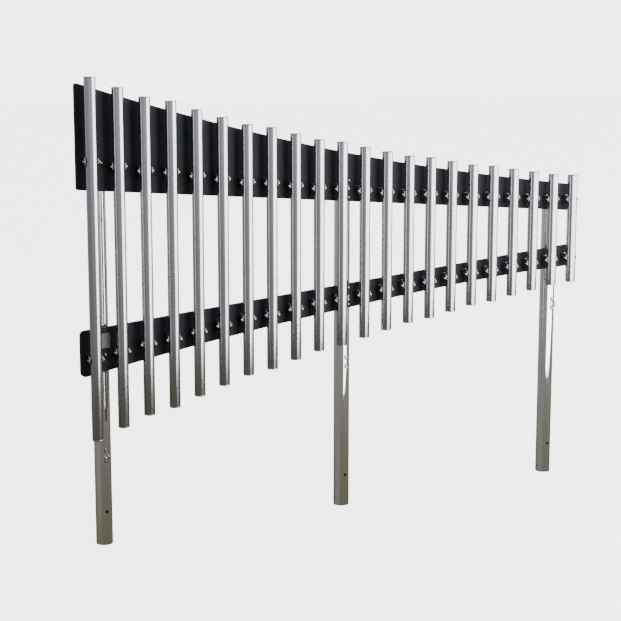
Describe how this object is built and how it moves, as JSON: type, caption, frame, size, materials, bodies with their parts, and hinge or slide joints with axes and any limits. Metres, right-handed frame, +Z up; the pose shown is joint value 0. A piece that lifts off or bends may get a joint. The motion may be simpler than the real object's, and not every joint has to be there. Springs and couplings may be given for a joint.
{
  "type": "tube chime set",
  "caption": "Outdoor set of tuned metal tube chimes in a graded row, pinned in brackets on two black boards carried by three round posts.",
  "frame": {"origin": "centre of the middle post's foot, on its lower end", "axes": "+X to the right along the boards, from low notes to high; +Y away from the player; +Z up along the posts"},
  "size_m": [2.708, 0.1834, 2.0863],
  "materials": {
    "satin_aluminium": "satin anodised",
    "cap_aluminium": "satin, turned",
    "black_board": "fine pebbled texture",
    "black_plastic": "moulded",
    "black_rubber": "matt",
    "polished_post": "mirror polished stainless steel",
    "stainless_fittings": "bright stainless steel",
    "plate_metal": "satin, blank"
  },
  "bodies": {
    "root": {"bottom_caps": "cap_aluminium", "chime_01": "satin_aluminium", "chime_02": "satin_aluminium", "chime_03": "satin_aluminium", "chime_04": "satin_aluminium", "chime_05": "satin_aluminium", "chime_06": "satin_aluminium", "chime_07": "satin_aluminium", "chime_08": "satin_aluminium", "chime_09": "satin_aluminium", "chime_10": "satin_aluminium", "chime_11": "satin_aluminium", "chime_12": "satin_aluminium", "chime_13": "satin_aluminium", "chime_14": "satin_aluminium", "chime_15": "satin_aluminium", "chime_16": "satin_aluminium", "chime_17": "satin_aluminium", "chime_18": "satin_aluminium", "chime_19": "satin_aluminium", "chime_20": "satin_aluminium", "chime_21": "satin_aluminium", "chime_22": "satin_aluminium", "info_plate": "plate_metal", "info_plate_rivets": "stainless_fittings", "lower_board": "black_board", "lower_bracket_nuts": "stainless_fittings", "lower_bracket_screws": "stainless_fittings", "lower_brackets": "stainless_fittings", "lower_cross_pins": "stainless_fittings", "lower_dome_nuts": "stainless_fittings", "lower_grommets": "black_rubber", "lower_post_bolts": "stainless_fittings", "lower_post_nuts": "stainless_fittings", "lower_saddles": "black_plastic", "post_cap_left": "black_plastic", "post_cap_middle": "black_plastic", "post_cap_right": "black_plastic", "post_left": "polished_post", "post_middle": "polished_post", "post_right": "polished_post", "tether_eye_left": "stainless_fittings", "tether_eye_middle": "stainless_fittings", "tether_eye_right": "stainless_fittings", "tether_eye_screws": "stainless_fittings", "top_caps": "cap_aluminium", "upper_board": "black_board", "upper_bracket_nuts": "stainless_fittings", "upper_bracket_screws": "stainless_fittings", "upper_brackets": "stainless_fittings", "upper_cross_pins": "stainless_fittings", "upper_dome_nuts": "stainless_fittings", "upper_grommets": "black_rubber", "upper_post_bolts": "stainless_fittings", "upper_post_nuts": "stainless_fittings", "upper_saddles": "black_plastic"}
  },
  "joints": []
}
